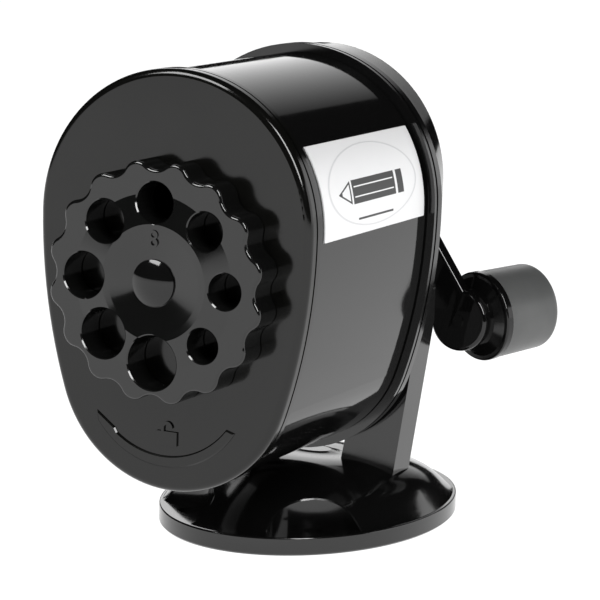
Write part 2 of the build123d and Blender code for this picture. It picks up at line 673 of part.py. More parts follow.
def dial():
    """Turning selector with eight pencil holes that grow round the circle."""
    body = slab(lobed_disc(), DIAL_FRONT_Y, DIAL_BACK_Y, 0, DIAL_Z)
    body = fillet(edges_at_depth(body, DIAL_FRONT_Y), DIAL_EDGE_R)
    body -= Pos(0, DIAL_BACK_Y + DIAL_GAP, DIAL_Z) * Rot(90, 0, 0) * Torus(DETENT_R, BALL_R)
    for number, radius in enumerate(HOLE_RADII):
        x, z = polar(HOLE_CIRCLE_R, HOLE_FIRST_DEG + number * 360 / len(HOLE_RADII))
        body -= disc(radius, DIAL_FRONT_Y - 1, DIAL_BACK_Y + 1, x, DIAL_Z + z)
        dimple_x, dimple_z = polar(DETENT_R, number * 360 / len(HOLE_RADII) + 45)
        body -= Pos(dimple_x, DIAL_BACK_Y + DIAL_GAP, DIAL_Z + dimple_z) * Sphere(BALL_R + DIMPLE_GROW)
    lips = edges_at_depth(body, DIAL_FRONT_Y).filter_by(GeomType.CIRCLE)
    body = chamfer([edge for edge in lips if edge.radius < HOLE_CIRCLE_R / 2 and edge.is_closed], LIP)
    dish_r = (DISH_R ** 2 + DISH_T ** 2) / (2 * DISH_T)
    body -= Pos(0, DIAL_FRONT_Y + DISH_T - dish_r, DIAL_Z) * Sphere(dish_r)
    body -= disc(PIVOT_R + RUN, DIAL_FRONT_Y - 1, DIAL_BACK_Y + 1, 0, DIAL_Z)
    body -= disc(BUTTON_R + 0.15, DIAL_FRONT_Y - 1, DIAL_FRONT_Y + BUTTON_SUNK, 0, DIAL_Z)
    body -= disc(WASHER_POCKET_R, DIAL_BACK_Y - WASHER_POCKET_T, DIAL_BACK_Y + 1, 0, DIAL_Z)
    top_hole_low = HOLE_CIRCLE_R - HOLE_RADII[2]
    for shift in (-0.85, 0.85):
        ring = Circle(MARK_R) - Circle(MARK_R - 0.45)
        body += slab(ring, DIAL_FRONT_Y - 0.2, DIAL_FRONT_Y + DISH_T, 0, DIAL_Z + top_hole_low - 3.2 + shift)
    return body


def dial_pivot():
    """Domed button on a stem that snaps into the plate's boss."""
    sphere_r = (BUTTON_R ** 2 + BUTTON_PROUD ** 2) / (2 * BUTTON_PROUD)
    seat = DIAL_FRONT_Y + BUTTON_SUNK - SIDE_GAP
    dome = Pos(0, DIAL_FRONT_Y - BUTTON_PROUD + sphere_r, DIAL_Z) * Sphere(sphere_r)
    head = dome & disc(BUTTON_R, DIAL_FRONT_Y - 2 * BUTTON_PROUD, DIAL_FRONT_Y, 0, DIAL_Z)
    head += disc(BUTTON_R, DIAL_FRONT_Y, seat, 0, DIAL_Z)
    stem_end = FACE_Y + PLATE_T + PIVOT_BOSS_LEN
    stem = disc(PIVOT_R, seat, stem_end, 0, DIAL_Z)
    barb = disc(PIVOT_R + 0.6, stem_end, stem_end + 0.8, 0, DIAL_Z)
    return head + stem + barb


def dial_spring_washer():
    """Spring washer between the plate and the dial's pocket, drawn flat."""
    back = FACE_Y - SIDE_GAP
    return disc(WASHER_POCKET_R - 0.4, back - 0.6, back, 0, DIAL_Z) - disc(PIVOT_R + 0.3, back - 2, back + 1, 0, DIAL_Z)


def detent_ball():
    x, z = detent_place()
    return Pos(x, FACE_Y, z) * Sphere(BALL_R - 0.02)


def detent_spring():
    """Leaf spring behind the plate, held round the pivot boss, that presses the ball forwards."""
    back = FACE_Y + PLATE_T
    leaf = slab(Circle(PIVOT_BOSS_R + 2.2), back, back + SPRING_T, 0, DIAL_Z)
    leaf += slab(Rot(0, 0, 45) * Pos(DETENT_R / 2, 0) * Rectangle(DETENT_R + 3, 3), back, back + SPRING_T, 0, DIAL_Z)
    return leaf - disc(PIVOT_BOSS_R, back - 1, back + 2, 0, DIAL_Z)


NODES = {
    "stand": stand,
    "ring_gear": ring_gear,
    "shaft_bush": shaft_bush,
    "thrust_washer": thrust_washer,
    "crank_shaft": crank_shaft,
    "cutter_carrier": cutter_carrier,
    "pencil_guide": pencil_guide,
    "cutter_right": lambda: cutter(1),
    "cutter_left": lambda: cutter(-1),
    "pinion_right": lambda: pinion(1),
    "pinion_left": lambda: pinion(-1),
    "cutter_pin_right": lambda: cutter_pin(1),
    "cutter_pin_left": lambda: cutter_pin(-1),
    "crank_arm": crank_arm,
    "crank_washer": crank_washer,
    "crank_screw": crank_screw,
    "knob_stud": knob_stud,
    "knob_flange": knob_flange,
    "knob_grip": knob_grip,
    "receptacle_drum": receptacle_drum,
    "front_plate": front_plate,
    "label": label,
    "dial": dial,
    "dial_pivot": dial_pivot,
    "dial_spring_washer": dial_spring_washer,
    "detent_ball": detent_ball,
    "detent_spring": detent_spring,
}

os.makedirs("parts", exist_ok=True)
for node, make in NODES.items():
    export_step(make(), f"parts/{node}.step")
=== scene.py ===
"""Looks, light and camera for a manual crank pencil sharpener on an oval screw-down stand.

Everything is in metres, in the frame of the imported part: +Z is up, the dial faces -Y and the crank is at +Y.
"""

import json
import logging
import math
from dataclasses import dataclass
from enum import Enum
from typing import Any, Optional, Protocol, Union

import bpy
import numpy as np
from mathutils import Matrix, Vector

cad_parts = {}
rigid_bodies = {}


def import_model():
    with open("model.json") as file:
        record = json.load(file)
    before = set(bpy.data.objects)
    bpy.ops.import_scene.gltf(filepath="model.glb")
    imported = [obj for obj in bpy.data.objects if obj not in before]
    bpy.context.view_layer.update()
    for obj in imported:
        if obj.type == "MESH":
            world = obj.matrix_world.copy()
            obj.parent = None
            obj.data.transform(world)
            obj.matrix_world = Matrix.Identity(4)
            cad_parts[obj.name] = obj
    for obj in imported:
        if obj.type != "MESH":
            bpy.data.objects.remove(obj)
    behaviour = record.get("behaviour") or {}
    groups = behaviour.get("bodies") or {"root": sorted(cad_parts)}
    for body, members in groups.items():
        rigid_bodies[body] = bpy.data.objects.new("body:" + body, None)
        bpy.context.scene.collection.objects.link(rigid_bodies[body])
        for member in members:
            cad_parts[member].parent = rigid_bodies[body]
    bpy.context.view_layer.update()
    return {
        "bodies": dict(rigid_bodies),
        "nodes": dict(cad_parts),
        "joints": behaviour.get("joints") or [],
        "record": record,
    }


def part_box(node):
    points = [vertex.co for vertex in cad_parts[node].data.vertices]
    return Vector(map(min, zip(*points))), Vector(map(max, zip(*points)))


LOG = logging.getLogger("sharpener")
MM = 0.001

Number = Union[int, float]
Operand = Union["Value", Number]
Colour = tuple[float, float, float]
Place = tuple[float, float, float]
Span = tuple[float, float]

# Sockets of a Mix node that mixes colours
MIX_FACTOR = 0
MIX_LOW = 6
MIX_HIGH = 7
MIX_RESULT = 2

# Shares that every moulding's finish has in common
DUST_COVER = 0.4
DUST_ROUGH = 0.1
FINE_ROUGH = 0.02


class Value:
    """One number socket of a shader graph, which Python's arithmetic operators turn into Math nodes."""

    def __init__(self, graph: "Graph", socket: bpy.types.NodeSocket) -> None:
        """Keep the socket and the graph that owns it.

        Args:
            graph: The graph that new Math nodes go into.
            socket: The output socket that holds the number.
        """
        self.graph = graph
        self.socket = socket

    def _math(self, operation: str, *operands: Operand) -> "Value":
        """Add a Math node.

        Args:
            operation: The Math node's operation, such as "ADD".
            operands: Its inputs in order, as values or plain numbers.

        Returns:
            The node's result.
        """
        return self.graph.math(operation, *operands)

    def __add__(self, other: Operand) -> "Value":
        """self + other."""
        return self._math("ADD", self, other)

    def __radd__(self, other: Operand) -> "Value":
        """other + self."""
        return self._math("ADD", other, self)

    def __sub__(self, other: Operand) -> "Value":
        """self - other."""
        return self._math("SUBTRACT", self, other)

    def __rsub__(self, other: Operand) -> "Value":
        """other - self."""
        return self._math("SUBTRACT", other, self)

    def __mul__(self, other: Operand) -> "Value":
        """self * other."""
        return self._math("MULTIPLY", self, other)

    def __rmul__(self, other: Operand) -> "Value":
        """other * self."""
        return self._math("MULTIPLY", other, self)

    def __truediv__(self, other: Operand) -> "Value":
        """self / other."""
        return self._math("DIVIDE", self, other)

    def __pow__(self, other: Operand) -> "Value":
        """self ** other."""
        return self._math("POWER", self, other)

    def __abs__(self) -> "Value":
        """Distance of self from zero."""
        return self._math("ABSOLUTE", self)

    def least(self, other: Operand) -> "Value":
        """The smaller of self and other."""
        return self._math("MINIMUM", self, other)

    def most(self, other: Operand) -> "Value":
        """The larger of self and other."""
        return self._math("MAXIMUM", self, other)

    def ramp(self, low: float, high: float) -> "Value":
        """Smooth step from 0 at low to 1 at high.

        Args:
            low: Where the step starts.
            high: Where it ends; it may be less than low, which turns the step round.

        Returns:
            3t^2 - 2t^3, with t running from 0 to 1 between low and high.
        """
        t = ((self - low) / (high - low)).most(0.0).least(1.0)
        return t * t * (3.0 - 2.0 * t)


class Graph:
    """A material's node tree, with one method for any node."""

    def __init__(self, name: str) -> None:
        """Start a material with an empty Principled surface.

        Args:
            name: The material's name.
        """
        self.material = bpy.data.materials.new(name)
        self.material.use_nodes = True
        self.tree = self.material.node_tree
        self.tree.nodes.clear()
        output = self.tree.nodes.new("ShaderNodeOutputMaterial")
        self.surface = self.tree.nodes.new("ShaderNodeBsdfPrincipled")
        self.tree.links.new(self.surface.outputs["BSDF"], output.inputs["Surface"])

    def node(self, kind: str, settings: Optional[dict[str, Any]] = None, **inputs: Any) -> bpy.types.Node:
        """Add any node.

        Args:
            kind: The node's type name without its ShaderNode prefix, such as "TexNoise".
            settings: The node's own properties, which are set before its inputs.
            inputs: Values or links by input name, with spaces as underscores.

        Returns:
            The new node.
        """
        new = self.tree.nodes.new("ShaderNode" + kind)
        for key, value in (settings or {}).items():
            setattr(new, key, value)
        for key, value in inputs.items():
            self.put(new.inputs[key.replace("_", " ")], value)
        return new

    def put(self, socket: bpy.types.NodeSocket, value: Any) -> None:
        """Link a socket or set its value.

        Args:
            socket: The input to fill.
            value: A Value, an output socket, a number, or a colour or vector.
        """
        if isinstance(value, Value):
            value = value.socket
        if isinstance(value, bpy.types.NodeSocket):
            self.tree.links.new(value, socket)
        else:
            socket.default_value = value

    def math(self, operation: str, *operands: Operand) -> Value:
        """Add a Math node.

        Args:
            operation: The node's operation.
            operands: Its inputs in order.

        Returns:
            The result.
        """
        new = self.node("Math", {"operation": operation})
        for socket, value in zip(new.inputs, operands):
            self.put(socket, value)
        return Value(self, new.outputs[0])

    def place(self, centre: Place = (0.0, 0.0, 0.0)) -> bpy.types.NodeSocket:
        """Object coordinates about a centre.

        Args:
            centre: The pattern's centre in metres.

        Returns:
            The vector socket.
        """
        coordinates = self.node("TexCoord").outputs["Object"]
        moved = self.node("VectorMath", {"operation": "SUBTRACT"})
        self.put(moved.inputs[0], coordinates)
        self.put(moved.inputs[1], centre)
        return moved.outputs[0]

    def axes(self, vector: bpy.types.NodeSocket) -> tuple[Value, Value, Value]:
        """Split a vector into its three numbers.

        Args:
            vector: The vector's socket.

        Returns:
            x, y and z.
        """
        split = self.node("SeparateXYZ", Vector=vector)
        return tuple(Value(self, socket) for socket in split.outputs)

    def noise(self, vector: bpy.types.NodeSocket, scale: float, detail: float = 2.0,
              rough: float = 0.5) -> Value:
        """Cloud noise from 0 to 1.

        Args:
            vector: Where it is read.
            scale: Blotches in one metre.
            detail: How many finer layers it has.
            rough: How strong the finer layers are.

        Returns:
            The noise's value.
        """
        cloud = self.node("TexNoise", Vector=vector, Scale=scale, Detail=detail, Roughness=rough)
        return Value(self, cloud.outputs[0])

    def blend(self, mask: Operand, low: Any, high: Any) -> bpy.types.NodeSocket:
        """Mix two colours.

        Args:
            mask: 0 gives low and 1 gives high.
            low: A colour or its socket.
            high: A colour or its socket.

        Returns:
            The mixed colour's socket.
        """
        mix = self.node("Mix", {"data_type": "RGBA"})
        self.put(mix.inputs[MIX_FACTOR], mask)
        for index, colour in ((MIX_LOW, low), (MIX_HIGH, high)):
            linked = isinstance(colour, bpy.types.NodeSocket)
            self.put(mix.inputs[index], colour if linked else (*colour, 1.0))
        return mix.outputs[MIX_RESULT]

    def set(self, **inputs: Any) -> None:
        """Fill the surface's inputs.

        Args:
            inputs: Values or links by input name, with spaces as underscores. A colour has three numbers.
        """
        for key, value in inputs.items():
            if isinstance(value, tuple) and len(value) == 3:
                value = (*value, 1.0)
            self.put(self.surface.inputs[key.replace("_", " ")], value)

    def bump(self, height: Value, depth: float) -> None:
        """Give the surface a relief.

        Args:
            height: The relief from 0 to 1.
            depth: What 1 stands for, in metres.
        """
        bump = self.node("Bump", Strength=1.0, Distance=depth, Height=height)
        self.put(self.surface.inputs["Normal"], bump.outputs[0])


class Finish(Protocol):
    """Anything that can build one procedural material."""

    name: str

    def material(self) -> bpy.types.Material:
        """Build the finish."""


def dust_specks(graph: Graph, where: bpy.types.NodeSocket) -> Value:
    """Specks of dust on a moulding, which are the peaks of a fine noise.

    Args:
        graph: The moulding's graph.
        where: Object coordinates.

    Returns:
        1 on a speck and 0 off it.
    """
    return graph.noise(where, scale=2600.0, detail=3.0, rough=0.7).ramp(0.72, 0.80)


@dataclass(frozen=True)
class MouldedPlastic:
    """Black moulded plastic: a glossy skin with faint ripples, hazy patches, fine scratches and dust.

    Attributes:
        haze: What the hazy patches add to the roughness.
        scratch: What the scratches add to it.
        ripple: The depth of the whole relief in metres.
        wave_share: The ripples' share of the relief.
        fine_share: The fine grain's share of it on every moulding.
        grain: What a grained moulding has on top of that.
        index: The refractive index.
    """

    name: str
    shade: Colour = (0.0035, 0.0035, 0.0035)
    dust: Colour = (0.03, 0.03, 0.03)
    rough: float = 0.06
    haze: float = 0.05
    scratch: float = 0.05
    scratch_turn: Place = (0.4, 0.3, 0.7)
    scratch_scale: Place = (90.0, 2400.0, 500.0)
    ripple: float = 0.000006
    wave_share: float = 0.9
    fine_share: float = 0.03
    grain: float = 0.0
    index: float = 1.5

    def scratches(self, graph: Graph, where: bpy.types.NodeSocket) -> Value:
        """Long thin scratches, which are a noise stretched aslant.

        Args:
            graph: The finish's graph.
            where: Object coordinates.

        Returns:
            1 on a scratch and 0 off it.
        """
        slanted = graph.node("Mapping", Vector=where, Rotation=self.scratch_turn, Scale=self.scratch_scale)
        return graph.noise(slanted.outputs[0], scale=1.0, detail=2.0, rough=0.7).ramp(0.66, 0.74)

    def material(self) -> bpy.types.Material:
        """Build the finish.

        Returns:
            Its material.
        """
        graph = Graph(self.name)
        where = graph.place()
        patches = graph.noise(where, scale=55.0, detail=4.0, rough=0.6).ramp(0.35, 0.75)
        fine = graph.noise(where, scale=5200.0)
        waves = graph.noise(where, scale=110.0, detail=1.0)
        specks = dust_specks(graph, where)
        lines = self.scratches(graph, where)
        skin = self.rough + self.haze * patches + FINE_ROUGH * fine + self.scratch * lines
        graph.set(Base_Color=graph.blend(specks * DUST_COVER, self.shade, self.dust), IOR=self.index,
                  Roughness=skin + DUST_ROUGH * specks)
        graph.bump(waves * self.wave_share + fine * (self.fine_share + self.grain), self.ripple)
        return graph.material


@dataclass(frozen=True)
class GlossPaint:
    """Gloss black paint on steel: orange peel, with a little wear towards the middle of the patches.

    Attributes:
        wear_cover: How far the worn shade shows in a patch.
        wear_rough: What wear adds to the roughness.
        peel_rough: What the orange peel adds to it.
        peel: The depth of the orange peel in metres.
    """

    name: str
    shade: Colour = (0.003, 0.003, 0.003)
    worn: Colour = (0.02, 0.02, 0.02)
    rough: float = 0.05
    wear_cover: float = 0.5
    wear_rough: float = 0.12
    peel_rough: float = 0.03
    peel: float = 0.000008

    def material(self) -> bpy.types.Material:
        """Build the finish.

        Returns:
            Its material.
        """
        graph = Graph(self.name)
        where = graph.place()
        wear = graph.noise(where, scale=260.0, detail=5.0, rough=0.7).ramp(0.68, 0.8)
        peel = graph.noise(where, scale=620.0, detail=1.0)
        graph.set(Base_Color=graph.blend(wear * self.wear_cover, self.shade, self.worn), IOR=1.5,
                  Roughness=self.rough + self.wear_rough * wear + self.peel_rough * peel)
        graph.bump(peel, self.peel)
        return graph.material


@dataclass(frozen=True)
class SatinGrip:
    """Satin grey plastic with a fine spark-eroded grain and soft clouds of a deeper grey.

    Attributes:
        cloud_cover: How far the deeper shade shows in a cloud.
        grain_rough: What the grain adds to the roughness.
        cloud_rough: What the clouds add to it.
        depth: The depth of the grain in metres.
    """

    name: str
    shade: Colour = (0.098, 0.100, 0.099)
    deep: Colour = (0.070, 0.072, 0.071)
    rough: float = 0.30
    cloud_cover: float = 0.6
    grain_rough: float = 0.08
    cloud_rough: float = 0.05
    depth: float = 0.000018

    def material(self) -> bpy.types.Material:
        """Build the finish.

        Returns:
            Its material.
        """
        graph = Graph(self.name)
        where = graph.place()
        grain = graph.noise(where, scale=3800.0, detail=3.0, rough=0.6)
        clouds = graph.noise(where, scale=90.0, detail=3.0, rough=0.5).ramp(0.3, 0.7)
        graph.set(Base_Color=graph.blend(clouds * self.cloud_cover, self.shade, self.deep), IOR=1.5,
                  Roughness=self.rough + self.grain_rough * grain + self.cloud_rough * clouds)
        graph.bump(grain, self.depth)
        return graph.material


@dataclass(frozen=True)
class Metal:
    """Bare metal with a brushed or turned grain and dull patches.

    Attributes:
        grain: The grain's lines in one metre along X, Y and Z.
        patch_cover: How far the dull shade shows in a patch.
        line_rough: What the grain's lines add to the roughness.
        patch_rough: What the patches add to it.
        depth: The depth of the grain in metres.
    """

    name: str
    shade: Colour = (0.55, 0.55, 0.56)
    dull: Colour = (0.34, 0.33, 0.32)
    rough: float = 0.24
    grain: Place = (900.0, 5200.0, 900.0)
    patch_cover: float = 0.7
    line_rough: float = 0.14
    patch_rough: float = 0.12
    depth: float = 0.000010

    def material(self) -> bpy.types.Material:
        """Build the finish.

        Returns:
            Its material.
        """
        graph = Graph(self.name)
        where = graph.place()
        stretched = graph.node("Mapping", Vector=where, Scale=self.grain).outputs[0]
        lines = graph.noise(stretched, scale=1.0, detail=3.0, rough=0.6)
        patches = graph.noise(where, scale=160.0, detail=4.0, rough=0.6).ramp(0.45, 0.75)
        graph.set(Base_Color=graph.blend(patches * self.patch_cover, self.shade, self.dull), Metallic=1.0,
                  Roughness=self.rough + self.line_rough * lines + self.patch_rough * patches)
        graph.bump(lines, self.depth)
        return graph.material


@dataclass(frozen=True)
class TurnedMetal:
    """Metal turned on a lathe: rings round one axis along Y, spaced by the feed of the tool.

    Attributes:
        centre: A point on the axis in metres.
        stain_cover: How far the dull shade shows in a stain.
        ring_rough: What the rings add to the roughness.
        stain_rough: What the stains add to it.
        feed: The distance between rings in metres.
        depth: The depth of the rings in metres.
    """

    name: str
    centre: Place
    shade: Colour = (0.58, 0.58, 0.59)
    dull: Colour = (0.36, 0.35, 0.34)
    rough: float = 0.2
    stain_cover: float = 0.7
    ring_rough: float = 0.08
    stain_rough: float = 0.15
    feed: float = 0.00025
    depth: float = 0.000006

    def material(self) -> bpy.types.Material:
        """Build the finish, with rings sin(2 pi (r + y) / feed) brought to 0 to 1.

        Returns:
            Its material.
        """
        graph = Graph(self.name)
        where = graph.place(self.centre)
        across, along, high = graph.axes(where)
        radius = (across * across + high * high) ** 0.5
        rings = graph.math("SINE", (radius + along) * (2.0 * math.pi / self.feed)) * 0.5 + 0.5
        stain = graph.noise(where, scale=210.0, detail=4.0, rough=0.6).ramp(0.5, 0.78)
        graph.set(Base_Color=graph.blend(stain * self.stain_cover, self.shade, self.dull), Metallic=1.0,
                  Roughness=self.rough + self.ring_rough * rings + self.stain_rough * stain)
        graph.bump(rings, self.depth)
        return graph.material


@dataclass(frozen=True)
class CastMetal:
    """Zinc casting: a pebbled skin with graphite smears from use.

    Attributes:
        smear_cover: How far the soot shows in a smear.
        smear_rough: What the smears add to the roughness.
        pebble_rough: What the pebbles add to it.
        metallic: How metallic the cast skin is.
        depth: The depth of the pebbles in metres.
    """

    name: str
    shade: Colour = (0.30, 0.30, 0.31)
    soot: Colour = (0.045, 0.045, 0.05)
    rough: float = 0.42
    smear_cover: float = 0.8
    smear_rough: float = 0.2
    pebble_rough: float = 0.1
    metallic: float = 0.85
    depth: float = 0.00005

    def material(self) -> bpy.types.Material:
        """Build the finish.

        Returns:
            Its material.
        """
        graph = Graph(self.name)
        where = graph.place()
        pebbles = graph.noise(where, scale=1500.0, detail=3.0, rough=0.6)
        smears = graph.noise(where, scale=130.0, detail=5.0, rough=0.65).ramp(0.42, 0.68)
        graph.set(Base_Color=graph.blend(smears * self.smear_cover, self.shade, self.soot),
                  Metallic=self.metallic,
                  Roughness=self.rough + self.smear_rough * smears + self.pebble_rough * pebbles)
        graph.bump(pebbles, self.depth)
        return graph.material


@dataclass(frozen=True)
class PrintedLabel:
    """Silver-white foil with a pressed oval line and a plain pencil sign in black.

    Attributes:
        middle: The label's middle in metres.
        half_long: Half its length along Y.
        half_high: Half its height.
        oval_share: The oval line's place, as a share of the way from the middle to the edge.
        oval_fade: How far from that place the line fades out, and where it is whole.
        sign_scale: How much larger the sign is than the sizes below.
        sign_drop: How far the sign stands below the middle.
        barrel: The ends of the pencil's barrel.
        thick: Half the pencil's thickness.
        facets: The ends of the barrel's two facet lines.
        facet_share: Their height, as a share of half the thickness.
        facet_half: Half their width.
        rubber: The ends of the rubber.
        tip: The ends of the tip, its point first.
        tip_long: The length over which it grows to the pencil's thickness.
        wood: The ends of the bare wood in the tip.
        wood_edge: How far inside the tip's outline the wood fades in.
        rule: The ends of the line under the pencil.
        rule_drop: How far that line stands below the pencil.
        rule_half: Half its width.
        bar_soft: The width over which a bar's edge fades.
        tip_soft: The width over which the tip's slanted edge fades.
        end_soft: The width over which the ends of the tip and the wood fade.
    """

    name: str
    middle: Place
    half_long: float
    half_high: float
    white: Colour = (0.90, 0.90, 0.905)
    line: Colour = (0.50, 0.50, 0.52)
    ink: Colour = (0.008, 0.008, 0.009)
    oval_share: float = 0.86
    oval_fade: Span = (0.022, 0.008)
    sign_scale: float = 1.22
    sign_drop: float = 0.0008
    barrel: Span = (-0.0085, 0.0085)
    thick: float = 0.0021
    facets: Span = (-0.0078, 0.0078)
    facet_share: float = 0.42
    facet_half: float = 0.00014
    rubber: Span = (0.0093, 0.0118)
    tip: Span = (-0.0140, -0.0090)
    tip_long: float = 0.0050
    wood: Span = (-0.0125, -0.0095)
    wood_edge: Span = (0.00035, 0.00045)
    rule: Span = (-0.0070, 0.0070)
    rule_drop: float = 0.0048
    rule_half: float = 0.00022
    bar_soft: float = 0.00006
    tip_soft: float = 0.00008
    end_soft: float = 0.0001

    def stretch(self, along: Value, ends: Span, soft: float) -> Value:
        """A stretch between two ends.

        Args:
            along: Distance along it.
            ends: Where it starts and where it ends.
            soft: The width over which each end fades.

        Returns:
            1 between the ends and 0 outside them.
        """
        return along.ramp(ends[0], ends[0] + soft) * along.ramp(ends[1], ends[1] - soft)

    def bar(self, along: Value, up: Value, ends: Span, half: float) -> Value:
        """A straight bar.

        Args:
            along: Distance along the bar.
            up: Distance across it, from its middle.
            ends: Where it starts and where it ends.
            half: Half its width.

        Returns:
            1 inside the bar and 0 outside.
        """
        return self.stretch(along, ends, self.bar_soft) * abs(up).ramp(half, half - self.bar_soft)

    def sign(self, along: Value, up: Value) -> Value:
        """Pencil sign: a barrel with two facet lines, a gap, a rubber, and a tip that narrows to a point.

        Args:
            along: Distance along the label from its middle.
            up: Height from the sign's middle.

        Returns:
            1 on ink and 0 off it.
        """
        along, up = along * (1.0 / self.sign_scale), up * (1.0 / self.sign_scale)
        barrel = self.bar(along, up, self.barrel, self.thick)
        facet = self.bar(along, abs(up) - self.thick * self.facet_share, self.facets, self.facet_half)
        rubber = self.bar(along, up, self.rubber, self.thick)
        inside = (along - self.tip[0]) * (self.thick / self.tip_long) - abs(up)
        tip = self.stretch(along, self.tip, self.end_soft) * inside.ramp(0.0, self.tip_soft)
        wood = self.stretch(along, self.wood, self.end_soft) * inside.ramp(*self.wood_edge)
        rule = self.bar(along, up + self.rule_drop, self.rule, self.rule_half)
        return (barrel * (1.0 - facet)).most(rubber).most(tip * (1.0 - wood)).most(rule)

    def material(self) -> bpy.types.Material:
        """Build the finish.

        Returns:
            Its material.
        """
        graph = Graph(self.name)
        where = graph.place(self.middle)
        _, along, up = graph.axes(where)
        reach = ((along * (1.0 / self.half_long)) ** 2.0 + (up * (1.0 / self.half_high)) ** 2.0) ** 0.5
        oval = abs(reach - self.oval_share).ramp(*self.oval_fade)
        cloud = graph.noise(where, scale=120.0, detail=3.0, rough=0.5)
        grain = graph.noise(where, scale=3000.0)
        tinted = graph.blend(oval * 0.45 + cloud * 0.08, self.white, self.line)
        ink = self.sign(along, up + self.sign_drop)
        graph.set(Base_Color=graph.blend(ink, tinted, self.ink), Metallic=0.25 * (1.0 - ink),
                  Roughness=0.36 + 0.06 * grain - 0.1 * ink)
        graph.bump(oval * 0.8 + grain * 0.05, 0.00002)
        return graph.material


@dataclass(frozen=True)
class ContouredFace:
    """Moulded dial: its face sinks towards the button and falls away again outside a low crest.

    At a distance r from the centre the relief is
    h(r) = slope * (min(max(r - start, 0), crest - start) - min(max(r - crest, 0), end - crest)).

    Attributes:
        centre: The dial's middle in metres.
        haze: What the hazy patches add to the roughness.
        wave_depth: The depth of the ripples in metres.
        fine_depth: The depth of the fine grain in metres.
        index: The refractive index.
    """

    name: str
    centre: Place
    shade: Colour = (0.004, 0.0041, 0.004)
    dust: Colour = (0.03, 0.03, 0.03)
    start: float = 0.0052
    crest: float = 0.0125
    end: float = 0.0190
    slope: float = 0.19
    rough: float = 0.075
    haze: float = 0.05
    wave_depth: float = 0.00001
    fine_depth: float = 0.0000008
    index: float = 1.58

    def contour(self, graph: Graph) -> Value:
        """The face's contour, as the class says.

        Args:
            graph: The finish's graph.

        Returns:
            The contour's height in metres.
        """
        x, _, z = graph.axes(graph.place(self.centre))
        radius = (x * x + z * z) ** 0.5
        inner = (radius - self.start).most(0.0).least(self.crest - self.start)
        outer = (radius - self.crest).most(0.0).least(self.end - self.crest)
        return (inner - outer) * self.slope

    def material(self) -> bpy.types.Material:
        """Build the finish.

        Returns:
            Its material.
        """
        graph = Graph(self.name)
        where = graph.place()
        patches = graph.noise(where, scale=70.0, detail=4.0, rough=0.6).ramp(0.35, 0.75)
        fine = graph.noise(where, scale=4200.0)
        waves = graph.noise(where, scale=150.0, detail=1.0)
        specks = dust_specks(graph, where)
        graph.set(Base_Color=graph.blend(specks * DUST_COVER, self.shade, self.dust), IOR=self.index,
                  Roughness=self.rough + self.haze * patches + FINE_ROUGH * fine + DUST_ROUGH * specks)
        graph.bump(self.contour(graph) + waves * self.wave_depth + fine * self.fine_depth, 1.0)
        return graph.material


def middle_of(node: str) -> Place:
    """Middle of a node's box.

    Args:
        node: The node's name.

    Returns:
        The middle in metres.
    """
    low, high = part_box(node)
    return tuple((a + b) / 2 for a, b in zip(low, high))


class Part(Enum):
    """Sub-assemblies, by the CAD bodies that each of them moves with."""

    STAND = "stand"
    CRANK = "crank"
    CUTTERS = "cutter_right cutter_left"
    KNOB = "knob"
    RECEPTACLE = "receptacle"
    DIAL = "dial"


@dataclass
class SubAssembly:
    """CAD nodes that belong together, with the finish of each.

    Attributes:
    """

    frame: dict[str, Any]
    part = Part.STAND

    def joint_place(self, name: str) -> Place:
        """Where a joint turns, to a tenth of a millimetre, which is enough for a finish.

        Args:
            name: The joint's name.

        Returns:
            Its place in metres.
        """
        digits = 4
        places = {joint["name"]: joint["pos_m"] for joint in self.frame["joints"]}
        return tuple(round(float(number), digits) for number in places[name])

    def crank_axis(self) -> Place:
        """The point of the crank's axis that is level with the part's origin along Y.

        Returns:
            Its place in metres.
        """
        x, _, z = self.joint_place("crank_turn")
        return x, 0.0, z

    def finishes(self) -> dict[str, Finish]:
        """The finish of each node by name."""
        raise NotImplementedError

    def dress(self) -> None:
        """Give every node its material, one material for each different finish."""
        made: dict[Finish, bpy.types.Material] = {}
        for name, finish in self.finishes().items():
            node = self.frame["nodes"][name]
            if finish not in made:
                made[finish] = finish.material()
            node.data.materials.clear()
            node.data.materials.append(made[finish])
            count = len(node.data.polygons)
            LOG.info("%s / %s: %s, %d faces", self.part.name.lower(), name, finish.name, count)


@dataclass
class Stand(SubAssembly):
    """The moulded stand with the ring gear, the bush and the thrust washer fixed in it."""

    part = Part.STAND

    def finishes(self) -> dict[str, Finish]:
        """Choose the finishes.

        Returns:
            The finish of each node by name.
        """
        axis = self.crank_axis()
        return {
            "stand": MouldedPlastic("stand_black", rough=0.09, haze=0.05, ripple=0.000008, index=1.62),
            "ring_gear": Metal("gear_steel", (0.42, 0.42, 0.42), (0.22, 0.21, 0.20), 0.3),
            "shaft_bush": TurnedMetal("bush_brass", axis, (0.72, 0.53, 0.26), (0.45, 0.32, 0.16)),
            "thrust_washer": TurnedMetal("washer_steel", axis, feed=0.0004),
        }


@dataclass
class Crank(SubAssembly):
    """The arm, the shaft and the cutter carrier, which turn as one."""

    part = Part.CRANK

    def finishes(self) -> dict[str, Finish]:
        """Choose the finishes.

        Returns:
            The finish of each node by name.
        """
        zinc = Metal("zinc_plate", (0.56, 0.56, 0.58), (0.42, 0.42, 0.40), 0.22, (2600.0, 2600.0, 2600.0))
        return {
            "crank_arm": GlossPaint("arm_black"),
            "crank_shaft": TurnedMetal("shaft_steel", self.crank_axis()),
            "crank_washer": zinc,
            "crank_screw": zinc,
            "knob_stud": TurnedMetal("stud_steel", self.joint_place("knob_spin")),
            "cutter_carrier": CastMetal("carrier_cast"),
            "pencil_guide": CastMetal("guide_cast", (0.26, 0.26, 0.27), rough=0.36),
            "cutter_pin_right": Metal("pin_steel"),
            "cutter_pin_left": Metal("pin_steel"),
        }


